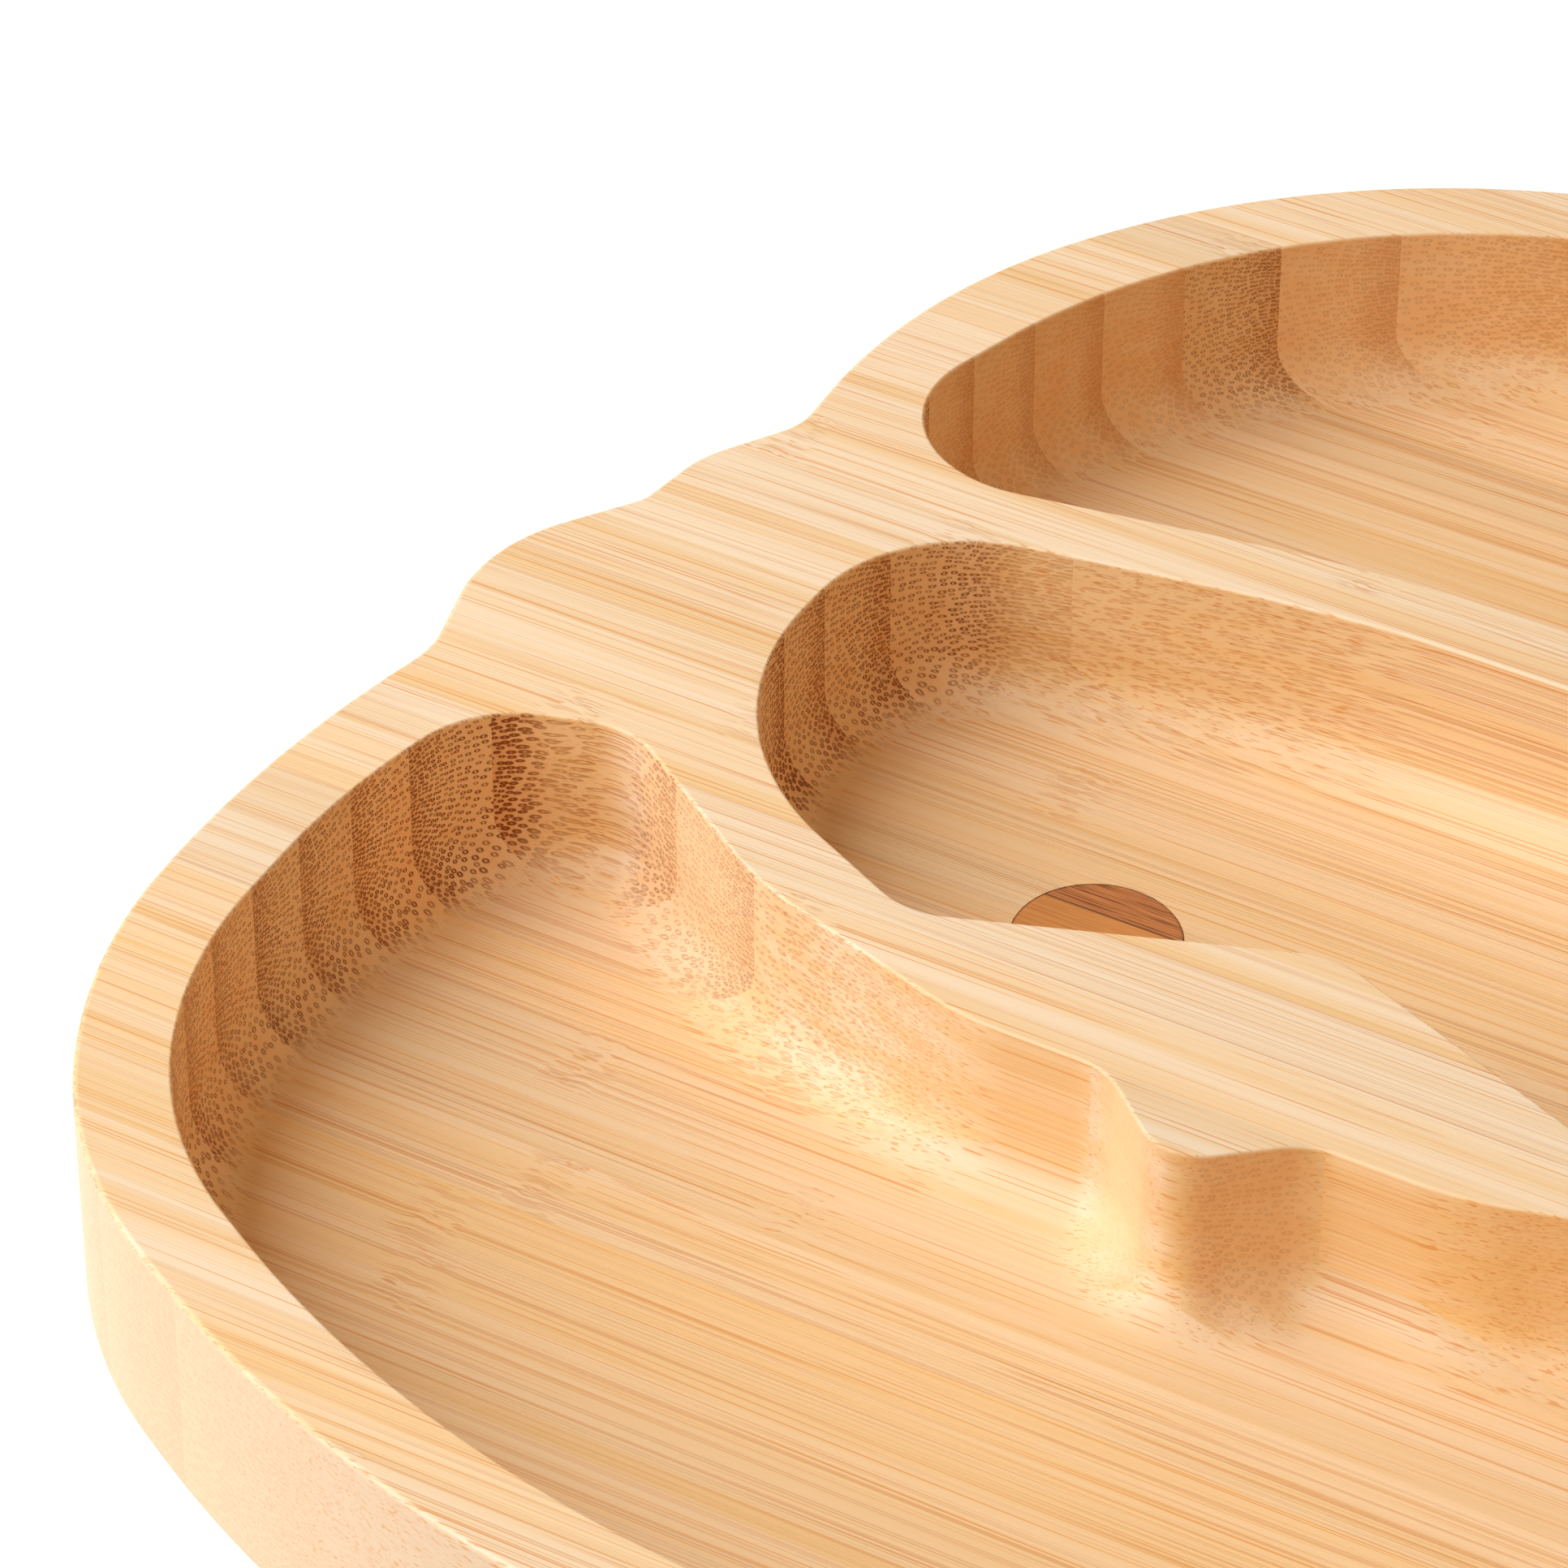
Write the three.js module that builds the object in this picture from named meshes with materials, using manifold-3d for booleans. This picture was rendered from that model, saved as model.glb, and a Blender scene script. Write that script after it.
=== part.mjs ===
// A divided bamboo plate for small children, with the outline of a round animal face.
// The blank is a board of bamboo strips, set on edge and glued side by side. It is milled to its
// outline, three trays are cut into its top, and two dark bamboo discs are set into the floor of
// the middle tray as eyes.
// Millimetres, +Z up. X runs along the grain and Y from the front edge to the back edge. The origin
// lies under the middle of the plate, on the surface that it rests on.

import * as THREE from 'three';
import { mergeVertices } from 'three/addons/utils/BufferGeometryUtils.js';
import Module from 'manifold-3d';

// Board: its strips run the whole width of the plate and its whole thickness
const PLATE_LENGTH = 198.6;
const PLATE_THICKNESS = 20;
const STRIP_WIDTH = 7;
const FIRST_STRIP_WIDTH = 5.8;
const THINNEST_STRIP = 1.5;
const TOP_EDGE_RADIUS = 0.5;
const FOOT_EDGE_RADIUS = 2;

// Muzzle, the wide front lobe. A "rise" is a distance back from the plate's front edge.
const MUZZLE_HALF_WIDTH = 83.9;
const CHIN_HALF_WIDTH = 31.3;
const CHIN_RADIUS = 112;
const JAW_INSET = 12.8;
const JAW_RISE = 22.4;
const JAW_RADIUS = 44;
const CHEEK_INSET = 2;
const CHEEK_RISE = 43.7;
const CHEEK_RADIUS = 50;
const TEMPLE_RISE = 69.2;
const TEMPLE_RADIUS = 110;

// Small lobes between the muzzle and the crown: an ear, a tuft and the three notches around them
const EAR_NOTCH_INSET = 3.7;
const EAR_NOTCH_RISE = 88.3;
const EAR_NOTCH_RADIUS = 9.2;
const EAR_PROUD = 0.2;
const EAR_RISE = 102.2;
const EAR_RADIUS = 16;
const TUFT_NOTCH_PROUD = 3.9;
const TUFT_NOTCH_RISE = 114.4;
const TUFT_NOTCH_RADIUS = 3.6;
const TUFT_PROUD = 3.1;
const TUFT_RISE = 121.7;
const TUFT_RADIUS = 11.2;
const CROWN_NOTCH_INSET = 1.8;
const CROWN_NOTCH_RISE = 130.1;
const CROWN_NOTCH_RADIUS = 6;

// Crown, the round back lobe: its side bends over into a flatter top
const CROWN_HALF_WIDTH = 72.3;
const CROWN_SIDE_RISE = 152;
const CROWN_SIDE_RADIUS = 52;
const CROWN_TOP_INSET = 27.8;
const CROWN_TOP_RADIUS = 65.5;

// Trays: upright walls with a cove at the foot and a small round at the rim
const TRAY_DEPTH = 15;
const COVE_RADIUS = 5;
const TRAY_EDGE_RADIUS = 0.3;
const MUZZLE_RIM = 7.4;
const DIVIDER_WIDTH = 7;

// Front tray: two raised side pockets, and a nose that pokes into it from the divider
const SHOULDER_RIM = 8;
const SHOULDER_RISE = 68.3;
const SHOULDER_RADIUS = 70;
const POCKET_RIM = 11;
const POCKET_OUTER_RISE = 83.5;
const POCKET_OUTER_RADIUS = 10;
const POCKET_HALF_SPACING = 60.7;
const POCKET_RISE = 87;
const POCKET_RADIUS = 7.5;
const BROW_HALF_WIDTH = 42.2;
const BROW_RISE = 75.1;
const LIP_HALF_WIDTH = 21;
const LIP_RISE = 68.9;
const LIP_RADIUS = 30;
const NOSE_HALF_WIDTH = 8.6;
const NOSE_SIDE_RADIUS = 6;
const NOSE_LENGTH = 7.3;
const NOSE_RADIUS = 4.8;

// Middle tray: a low bridge between two rounded bays
const BRIDGE_RISE = 89.6;
const BRIDGE_RADIUS = 7;
const BAY_HALF_SPACING = 30.6;
const BAY_RISE = 77.8;
const BAY_RADIUS = 7.3;
const FACE_HALF_WIDTH = 57;
const FACE_SIDE_RISE = 90.2;
const FACE_SIDE_RADIUS = 28;
const FACE_CORNER_RISE = 122.1;
const FACE_CORNER_RADIUS = 14;
const FOREHEAD_HALF_WIDTH = 18.8;
const FOREHEAD_RISE = 128.9;
const FOREHEAD_RADIUS = 120;

// Back tray: a dome inside the crown. Its sides leave the dome's arc at this angle above the arc's centre.
const DOME_SIDE_RIM = 8.6;
const DOME_TOP_RIM = 7.1;
const DOME_RADIUS = 56.7;
const DOME_ANGLE = THREE.MathUtils.degToRad(15);
const DOME_CORNER_RADIUS = 11.3;

// Eye inlays, flush with the middle tray's floor
const EYE_SPACING = 50.4;
const EYE_RISE = 98.9;
const EYE_DIAMETER = 13.8;
const EYE_THICKNESS = 2.5;
const EYE_CLEARANCE = 0.15;
const EYE_SIDES = 48;

// Smoothness of the faceted solids
const CHORD_ERROR = 0.06;
const COVE_STEPS = 4;
const EDGE_STEPS = 2;
const SHORTEST_SIDE = 0.05;
const CUT_OVERRUN = 1;

const FRONT = -PLATE_LENGTH / 2;
const BACK = PLATE_LENGTH / 2;
const TRAY_FLOOR = PLATE_THICKNESS - TRAY_DEPTH;

const wasm = await Module();
wasm.setup();

// A corner of an outline: where its two straight sides would meet, and the radius that rounds it
const corner = (x, y, radius) => ({ point: new THREE.Vector2(x, y), radius });

// An outline from the corners of its right half, front to back, and their mirror image
function mirrored(rightHalf) {
  const offAxis = rightHalf.filter(({ point }) => point.x > 0).reverse();
  return [...rightHalf, ...offAxis.map(({ point, radius }) => corner(-point.x, point.y, radius))];
}

// The unit directions into and out of each corner, and the angle that the outline turns through there
function bends(corners) {
  return corners.map(({ point }, i) => {
    const before = corners.at(i - 1).point;
    const after = corners[(i + 1) % corners.length].point;
    const into = point.clone().sub(before).normalize();
    const outOf = after.clone().sub(point).normalize();
    return { into, outOf, turn: Math.atan2(into.cross(outOf), into.dot(outOf)) };
  });
}

// The outline with each radius limited so that its arc fits on its share of both neighbouring sides
function fitted(corners) {
  const tangents = bends(corners).map(({ turn }) => Math.tan(Math.abs(turn) / 2));
  const reach = corners.map(({ radius }, i) => radius * tangents[i]);
  return corners.map(({ point, radius }, i) => {
    const room = [-1, 1].map((step) => {
      const j = (i + step + corners.length) % corners.length;
      const side = point.distanceTo(corners[j].point) - SHORTEST_SIDE;
      return side * Math.min(1, reach[i] / (reach[i] + reach[j]));
    });
    return { point, radius: Math.min(radius, Math.min(...room) / tangents[i]) };
  });
}

// The outline moved inwards: corners that bulge out tighten, and corners that poke in widen
function inset(corners, distance) {
  return bends(corners).map(({ into, outOf, turn }, i) => {
    const shift = new THREE.Vector2(-into.y - outOf.y, into.x + outOf.x);
    shift.multiplyScalar(distance / (1 + into.dot(outOf)));
    return {
      point: corners[i].point.clone().add(shift),
      radius: corners[i].radius - Math.sign(turn) * distance,
    };
  });
}

// The number of chords that each corner's arc takes
function arcSteps(corners) {
  return bends(corners).map(({ turn }, i) => {
    const chordAngle = 2 * Math.acos(1 - CHORD_ERROR / corners[i].radius);
    return Math.ceil(Math.abs(turn) / chordAngle);
  });
}

// The points of an outline whose corners are rounded by arcs of the given numbers of chords
function ringPoints(corners, steps) {
  return bends(corners).flatMap(({ into, turn }, i) => {
    const { point, radius } = corners[i];
    const start = point.clone().addScaledVector(into, -radius * Math.tan(Math.abs(turn) / 2));
    const inward = new THREE.Vector2(-into.y, into.x).multiplyScalar(Math.sign(turn));
    const centre = start.clone().addScaledVector(inward, radius);
    return Array.from({ length: steps[i] + 1 }, (_, step) => {
      return start.clone().rotateAround(centre, (turn * step) / steps[i]);
    });
  });
}

// A closed body whose cross-section is the outline, moved inwards by each level's inset at its height
function stack(corners, levels) {
  const steps = arcSteps(corners);
  const rings = levels.map((level) => ringPoints(inset(corners, level.inset), steps));
  const count = rings[0].length;
  const positions = rings.flatMap((ring, k) => ring.flatMap(({ x, y }) => [x, y, levels[k].z]));
  const indices = [];
  for (let k = 0; k + 1 < rings.length; k++) {
    for (let i = 0; i < count; i++) {
      const low = k * count;
      const next = (i + 1) % count;
      indices.push(low + i, low + next, low + count + next);
      indices.push(low + i, low + count + next, low + count + i);
    }
  }
  const top = (rings.length - 1) * count;
  THREE.ShapeUtils.triangulateShape(rings[0], []).forEach(([a, b, c]) => indices.push(a, c, b));
  THREE.ShapeUtils.triangulateShape(rings.at(-1), []).forEach(([a, b, c]) => {
    indices.push(top + a, top + b, top + c);
  });
  const geometry = new THREE.BufferGeometry();
  geometry.setAttribute('position', new THREE.Float32BufferAttribute(positions, 3));
  geometry.setIndex(indices);
  return geometry;
}

// Levels around a quarter circle, by the fraction of the quarter that has been turned
function quarter(count, level) {
  return Array.from({ length: count + 1 }, (_, i) => level((Math.PI / 2) * (i / count)));
}

function solidOf(geometry) {
  const bare = geometry.clone();
  bare.deleteAttribute('normal');
  bare.deleteAttribute('uv');
  const merged = mergeVertices(bare);
  return new wasm.Manifold(new wasm.Mesh({
    numProp: 3,
    vertProperties: new Float32Array(merged.attributes.position.array),
    triVerts: new Uint32Array(merged.index.array),
  }));
}

function geometryOf(solid) {
  const { vertProperties, triVerts } = solid.getMesh();
  const indexed = new THREE.BufferGeometry();
  indexed.setAttribute('position', new THREE.BufferAttribute(vertProperties, 3));
  indexed.setIndex(new THREE.BufferAttribute(triVerts, 1));
  const faceted = indexed.toNonIndexed();
  faceted.computeVertexNormals();
  return faceted;
}

// Outline of the board
const boardCorners = fitted(mirrored([
  corner(CHIN_HALF_WIDTH, FRONT, CHIN_RADIUS),
  corner(MUZZLE_HALF_WIDTH - JAW_INSET, FRONT + JAW_RISE, JAW_RADIUS),
  corner(MUZZLE_HALF_WIDTH - CHEEK_INSET, FRONT + CHEEK_RISE, CHEEK_RADIUS),
  corner(MUZZLE_HALF_WIDTH, FRONT + TEMPLE_RISE, TEMPLE_RADIUS),
  corner(MUZZLE_HALF_WIDTH - EAR_NOTCH_INSET, FRONT + EAR_NOTCH_RISE, EAR_NOTCH_RADIUS),
  corner(MUZZLE_HALF_WIDTH + EAR_PROUD, FRONT + EAR_RISE, EAR_RADIUS),
  corner(CROWN_HALF_WIDTH + TUFT_NOTCH_PROUD, FRONT + TUFT_NOTCH_RISE, TUFT_NOTCH_RADIUS),
  corner(CROWN_HALF_WIDTH + TUFT_PROUD, FRONT + TUFT_RISE, TUFT_RADIUS),
  corner(CROWN_HALF_WIDTH - CROWN_NOTCH_INSET, FRONT + CROWN_NOTCH_RISE, CROWN_NOTCH_RADIUS),
  corner(CROWN_HALF_WIDTH, FRONT + CROWN_SIDE_RISE, CROWN_SIDE_RADIUS),
  corner(CROWN_HALF_WIDTH - CROWN_TOP_INSET, BACK, CROWN_TOP_RADIUS),
]));

// The front tray keeps one rim's width inside the muzzle as far as the cheeks
const CHEEK_COUNT = 3;
const muzzleInset = inset(boardCorners, MUZZLE_RIM).slice(0, CHEEK_COUNT);
const frontTray = fitted(mirrored([
  ...muzzleInset,
  corner(MUZZLE_HALF_WIDTH - SHOULDER_RIM, FRONT + SHOULDER_RISE, SHOULDER_RADIUS),
  corner(MUZZLE_HALF_WIDTH - POCKET_RIM, FRONT + POCKET_OUTER_RISE, POCKET_OUTER_RADIUS),
  corner(POCKET_HALF_SPACING, FRONT + POCKET_RISE, POCKET_RADIUS),
  corner(BROW_HALF_WIDTH, FRONT + BROW_RISE, LIP_RADIUS),
  corner(LIP_HALF_WIDTH, FRONT + LIP_RISE, LIP_RADIUS),
  corner(NOSE_HALF_WIDTH, FRONT + LIP_RISE, NOSE_SIDE_RADIUS),
  corner(0, FRONT + LIP_RISE - NOSE_LENGTH, NOSE_RADIUS),
]));

const faceCorner = corner(FACE_HALF_WIDTH, FRONT + FACE_CORNER_RISE, FACE_CORNER_RADIUS);
const forehead = corner(FOREHEAD_HALF_WIDTH, FRONT + FOREHEAD_RISE, FOREHEAD_RADIUS);
const middleTray = fitted(mirrored([
  corner(0, FRONT + BRIDGE_RISE, BRIDGE_RADIUS),
  corner(BAY_HALF_SPACING, FRONT + BAY_RISE, BAY_RADIUS),
  corner(FACE_HALF_WIDTH, FRONT + FACE_SIDE_RISE, FACE_SIDE_RADIUS),
  faceCorner,
  forehead,
]));

// The back tray's near side runs along the middle tray's far side, a divider away. Its other sides
// touch the dome's circle, at its top and at the angle where they leave it.
function meet(pointA, directionA, pointB, directionB) {
  const between = pointB.clone().sub(pointA);
  const along = between.cross(directionB) / directionA.cross(directionB);
  return pointA.clone().addScaledVector(directionA, along);
}

const domeCentre = new THREE.Vector2(
  CROWN_HALF_WIDTH - DOME_SIDE_RIM - DOME_RADIUS,
  BACK - DOME_TOP_RIM - DOME_RADIUS,
);
const leaving = new THREE.Vector2(Math.cos(DOME_ANGLE), Math.sin(DOME_ANGLE));
const leavingPoint = domeCentre.clone().addScaledVector(leaving, DOME_RADIUS);
const leavingSide = new THREE.Vector2(-leaving.y, leaving.x);
const domeTop = new THREE.Vector2(domeCentre.x, domeCentre.y + DOME_RADIUS);
const acrossTop = new THREE.Vector2(1, 0);
const dividerSide = forehead.point.clone().sub(faceCorner.point).normalize();
const dividerNormal = new THREE.Vector2(dividerSide.y, -dividerSide.x);
const dividerPoint = forehead.point.clone().addScaledVector(dividerNormal, DIVIDER_WIDTH);
const nearTop = new THREE.Vector2(0, forehead.point.y + DIVIDER_WIDTH);
const backTrayCorner = (point, radius) => corner(point.x, point.y, radius);
const backTray = fitted(mirrored([
  backTrayCorner(meet(nearTop, acrossTop, dividerPoint, dividerSide), FOREHEAD_RADIUS),
  backTrayCorner(meet(dividerPoint, dividerSide, leavingPoint, leavingSide), DOME_CORNER_RADIUS),
  backTrayCorner(meet(leavingPoint, leavingSide, domeTop, acrossTop), DOME_RADIUS),
]));

// Board: rounded foot, upright side, rounded top edge
const board = solidOf(stack(boardCorners, [
  ...quarter(EDGE_STEPS, (angle) => ({
    inset: FOOT_EDGE_RADIUS * (1 - Math.sin(angle)),
    z: FOOT_EDGE_RADIUS * (1 - Math.cos(angle)),
  })),
  ...quarter(EDGE_STEPS, (angle) => ({
    inset: TOP_EDGE_RADIUS * (1 - Math.cos(angle)),
    z: PLATE_THICKNESS - TOP_EDGE_RADIUS * (1 - Math.sin(angle)),
  })),
]));

// Space cut out by a tray: cove, upright wall, rounded rim, and an overrun above the plate's top
function trayCutter(corners) {
  const bulging = bends(corners).map(({ turn }, i) => (turn > 0 ? corners[i].radius : Infinity));
  const cove = Math.min(COVE_RADIUS, Math.min(...bulging) - SHORTEST_SIDE);
  return solidOf(stack(corners, [
    ...quarter(COVE_STEPS, (angle) => ({
      inset: cove * (1 - Math.sin(angle)),
      z: TRAY_FLOOR + cove * (1 - Math.cos(angle)),
    })),
    ...quarter(EDGE_STEPS, (angle) => ({
      inset: TRAY_EDGE_RADIUS * (Math.cos(angle) - 1),
      z: PLATE_THICKNESS - TRAY_EDGE_RADIUS * (1 - Math.sin(angle)),
    })),
    { inset: -TRAY_EDGE_RADIUS, z: PLATE_THICKNESS + CUT_OVERRUN },
  ]));
}

// A round disc standing on its flat face in an eye's place
function eyeDisc(side, radius, bottom, top) {
  const disc = new THREE.CylinderGeometry(radius, radius, top - bottom, EYE_SIDES);
  disc.rotateX(Math.PI / 2);
  disc.translate((side * EYE_SPACING) / 2, FRONT + EYE_RISE, (bottom + top) / 2);
  return disc;
}

const eyeBottom = TRAY_FLOOR - EYE_THICKNESS;
const socketRadius = EYE_DIAMETER / 2 + EYE_CLEARANCE;
const eyeSockets = [-1, 1].map((side) => {
  return solidOf(eyeDisc(side, socketRadius, eyeBottom, TRAY_FLOOR + CUT_OVERRUN));
});
const cuts = [frontTray, middleTray, backTray].map(trayCutter).concat(eyeSockets);
const plate = cuts.reduce((solid, cut) => solid.subtract(cut), board);

// Glue joints, front to back, with the plate's two edges
const joints = [FRONT];
for (let y = FRONT + FIRST_STRIP_WIDTH; y < BACK - THINNEST_STRIP; y += STRIP_WIDTH) {
  joints.push(y);
}
joints.push(BACK);

// One strip of the board: what lies between two neighbouring joints
const SLAB_WIDTH = 4 * Math.max(MUZZLE_HALF_WIDTH, CROWN_HALF_WIDTH);
function stripBetween(front, back) {
  const slab = new THREE.BoxGeometry(SLAB_WIDTH, back - front, 2 * PLATE_THICKNESS);
  slab.translate(0, (front + back) / 2, PLATE_THICKNESS / 2);
  return geometryOf(plate.intersect(solidOf(slab)));
}

const BAMBOO = new THREE.Color(0xe6bd86);
const DARK_BAMBOO = new THREE.Color(0x8a4a22);
const TONE_STEP = 0.618;
const TONE_SPREAD = 0.06;

const bambooPlate = new THREE.Group();

for (let i = 0; i + 1 < joints.length; i++) {
  const tone = 1 + TONE_SPREAD * (((i * TONE_STEP) % 1) - 0.5);
  const material = new THREE.MeshStandardMaterial({
    color: BAMBOO.clone().multiplyScalar(tone),
    roughness: 0.55,
    metalness: 0,
  });
  const strip = new THREE.Mesh(stripBetween(joints[i], joints[i + 1]), material);
  strip.name = `bamboo_strip_${String(i + 1).padStart(2, '0')}`;
  bambooPlate.add(strip);
}

[['left_eye_inlay', -1], ['right_eye_inlay', 1]].forEach(([name, side]) => {
  const material = new THREE.MeshStandardMaterial({ color: DARK_BAMBOO, roughness: 0.6, metalness: 0 });
  const eye = new THREE.Mesh(eyeDisc(side, EYE_DIAMETER / 2, eyeBottom, TRAY_FLOOR), material);
  eye.name = name;
  bambooPlate.add(eye);
});

export default bambooPlate;
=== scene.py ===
import math

import bmesh
import bpy
import numpy as np
from mathutils import Matrix, Vector


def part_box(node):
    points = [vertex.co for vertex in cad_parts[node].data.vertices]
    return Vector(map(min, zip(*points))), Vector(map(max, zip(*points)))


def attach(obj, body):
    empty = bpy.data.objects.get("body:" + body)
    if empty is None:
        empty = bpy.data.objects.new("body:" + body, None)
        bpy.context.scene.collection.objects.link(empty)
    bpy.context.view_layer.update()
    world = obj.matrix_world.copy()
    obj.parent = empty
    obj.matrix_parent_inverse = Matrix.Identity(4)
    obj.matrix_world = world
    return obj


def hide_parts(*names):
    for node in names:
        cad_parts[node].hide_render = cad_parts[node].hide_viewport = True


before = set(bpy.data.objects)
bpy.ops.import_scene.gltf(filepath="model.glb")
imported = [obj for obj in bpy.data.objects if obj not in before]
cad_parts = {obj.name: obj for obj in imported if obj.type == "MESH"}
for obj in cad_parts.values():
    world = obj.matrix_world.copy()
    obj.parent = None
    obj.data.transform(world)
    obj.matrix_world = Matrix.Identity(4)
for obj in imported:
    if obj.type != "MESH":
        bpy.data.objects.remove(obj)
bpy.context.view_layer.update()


# Milled board
# The plate is one board of bamboo strips that stand on edge and are glued side by side. A router cuts its
# outline and three trays with coved feet, rounds the rims, and sinks two round sockets for the eyes.
# Sizes are in millimetres, x along the grain, y from the front edge to the back, z up from the table.

MM = 0.001
THICKNESS = 20.0
FRONT_EDGE = -99.3
TOP_ROUND = 0.5
FOOT_ROUND = 2.0
TRAY_FLOOR = 5.0
COVE = 5.0
RIM_ROUND = 0.3
MUZZLE_RIM = 7.4
DIVIDER = 7.0
POINT_SPACING = 0.5
ARC_POINTS = 48
COVE_STEPS = 12
ROUND_STEPS = 6

# Corners of the right half: distance from the middle, rise from the front edge, rounding radius
MUZZLE_CORNERS = [
    (31.3, 0.0, 112.0),  # chin
    (71.1, 22.4, 44.0),  # jaw
    (81.9, 43.7, 50.0),  # cheek
]
SIDE_CORNERS = [
    (83.9, 69.2, 110.0),  # temple
    (80.2, 88.3, 9.2),  # notch below the ear
    (84.1, 102.2, 16.0),  # ear
    (76.2, 114.4, 3.6),  # notch above the ear
    (75.4, 121.7, 11.2),  # tuft
    (70.5, 130.1, 6.0),  # notch below the crown
    (72.3, 152.0, 52.0),  # side of the crown
    (44.5, 198.6, 65.5),  # top of the crown
]
POCKET_CORNERS = [
    (75.9, 68.3, 70.0),  # shoulder
    (72.9, 83.5, 10.0),  # outer corner of the side pocket
    (60.7, 87.0, 7.5),  # inner corner of the side pocket
    (42.2, 75.1, 30.0),  # brow
    (21.0, 68.9, 30.0),  # lip
    (8.6, 68.9, 6.0),  # side of the nose
    (0.0, 61.6, 4.8),  # tip of the nose
]
FACE_CORNERS = [
    (0.0, 89.6, 7.0),  # bridge
    (30.6, 77.8, 7.3),  # bay
    (57.0, 90.2, 28.0),  # side
    (57.0, 122.1, 14.0),  # far corner
    (18.8, 128.9, 120.0),  # forehead
]
DOME_CENTRE = (7.0, 134.8)
DOME_RADIUS = 56.7
DOME_ANGLE = math.radians(15)
DOME_CORNER_RADIUS = 11.3


def mirrored(right_half):
    """The whole outline's corners: the right half's, then those off the middle line in reverse, mirrored."""
    right = np.array(right_half, float)
    left = right[right[:, 0] > 0][::-1] * (-1, 1, 1)
    return np.vstack([right, left]) + (0, FRONT_EDGE, 0)


def headings(corners):
    """The direction of the side that leads into each corner, and the angle that the outline turns there."""
    side = corners[:, :2] - np.roll(corners[:, :2], 1, axis=0)
    heading = np.arctan2(side[:, 1], side[:, 0])
    turn = (np.roll(heading, -1) - heading + math.pi) % (2 * math.pi) - math.pi
    return heading, turn


def left_of(heading):
    """The unit vector a quarter turn to the left of a heading."""
    return np.stack([-np.sin(heading), np.cos(heading)], axis=-1)


def inset(corners, distance):
    """Corners of the parallel outline: each moves along its bisector by the distance over the cosine of
    half its turn, and its radius shrinks where the outline bulges and grows where it pokes in."""
    heading, turn = headings(corners)
    moved = corners.copy()
    moved[:, :2] += left_of(heading + turn / 2) * (distance / np.cos(turn / 2))[:, None]
    moved[:, 2] -= np.sign(turn) * distance
    return moved


def outline(corners):
    """Evenly spaced points of a closed outline, and the inward direction at each. Every corner is rounded
    by the circle that touches both its sides: a point of the arc lies one radius from the circle's centre,
    to the right of a heading that turns evenly from the side before the corner to the side after it."""
    heading, turn = headings(corners)
    radius = corners[:, 2] * np.sign(turn)
    along = np.stack([np.cos(heading), np.sin(heading)], axis=-1)
    arc_start = corners[:, :2] - along * (radius * np.tan(turn / 2))[:, None]
    centre = arc_start + left_of(heading) * radius[:, None]
    arc_heading = heading[:, None] + turn[:, None] * np.linspace(0, 1, ARC_POINTS)
    points = centre[:, None] - left_of(arc_heading) * radius[:, None, None]
    points = points.reshape(-1, 2)
    points = np.vstack([points, points[:1]])
    arc_heading = np.unwrap(np.append(arc_heading.ravel(), heading[0]))
    walked = np.append(0, np.cumsum(np.hypot(*np.diff(points, axis=0).T)))
    count = round(walked[-1] / POINT_SPACING)
    even = np.arange(count) / count * walked[-1]
    spread = [np.interp(even, walked, values) for values in (*points.T, arc_heading)]
    return np.stack(spread[:2], axis=-1), left_of(spread[2])


def carried(points, inward, profile):
    """A profile carried along a closed outline: point (i, k) is outline point i, moved inwards by the
    profile's inset k and lifted to its height k. Gives the vertices and the quads between them."""
    offset, height = profile
    plan = points[None] + inward[None] * offset[:, None, None]
    lift = np.broadcast_to(height[:, None, None], (*plan.shape[:2], 1))
    vertices = np.concatenate([plan, lift], axis=2).reshape(-1, 3)
    rows, count = len(offset), len(points)
    low = (np.arange(rows - 1)[:, None] * count + np.arange(count)).ravel()
    low_next = (np.arange(rows - 1)[:, None] * count + np.roll(np.arange(count), -1)).ravel()
    return vertices, np.stack([low, low_next, low_next + count, low + count], axis=1)


def quarter(steps):
    """Angles around a quarter circle."""
    return np.linspace(0, math.pi / 2, steps + 1)


def side_profile():
    """Side of the board: a quarter round at its foot, a straight side and a quarter round at its top."""
    foot, top = quarter(ROUND_STEPS), quarter(ROUND_STEPS)
    offset = np.append(FOOT_ROUND * (1 - np.sin(foot)), TOP_ROUND * (1 - np.cos(top)))
    height = np.append(FOOT_ROUND * (1 - np.cos(foot)), THICKNESS - TOP_ROUND * (1 - np.sin(top)))
    return offset, height


def tray_profile():
    """Wall of a tray: a quarter-circle cove up from the floor, a straight wall and a rounded rim."""
    cove, rim = quarter(COVE_STEPS), quarter(ROUND_STEPS)
    offset = np.append(COVE * (1 - np.sin(cove)), RIM_ROUND * (np.cos(rim) - 1))
    height = np.append(TRAY_FLOOR + COVE * (1 - np.cos(cove)), THICKNESS - RIM_ROUND * (1 - np.sin(rim)))
    return offset, height


def crossing(point, heading, other_point, other_heading):
    """Where two straight lines meet, each given by a point and a heading."""
    directions = np.array([
        [np.cos(heading), -np.cos(other_heading)],
        [np.sin(heading), -np.sin(other_heading)],
    ])
    along = np.linalg.solve(directions, np.subtract(other_point, point))[0]
    return np.add(point, along * directions[:, 0])


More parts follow.
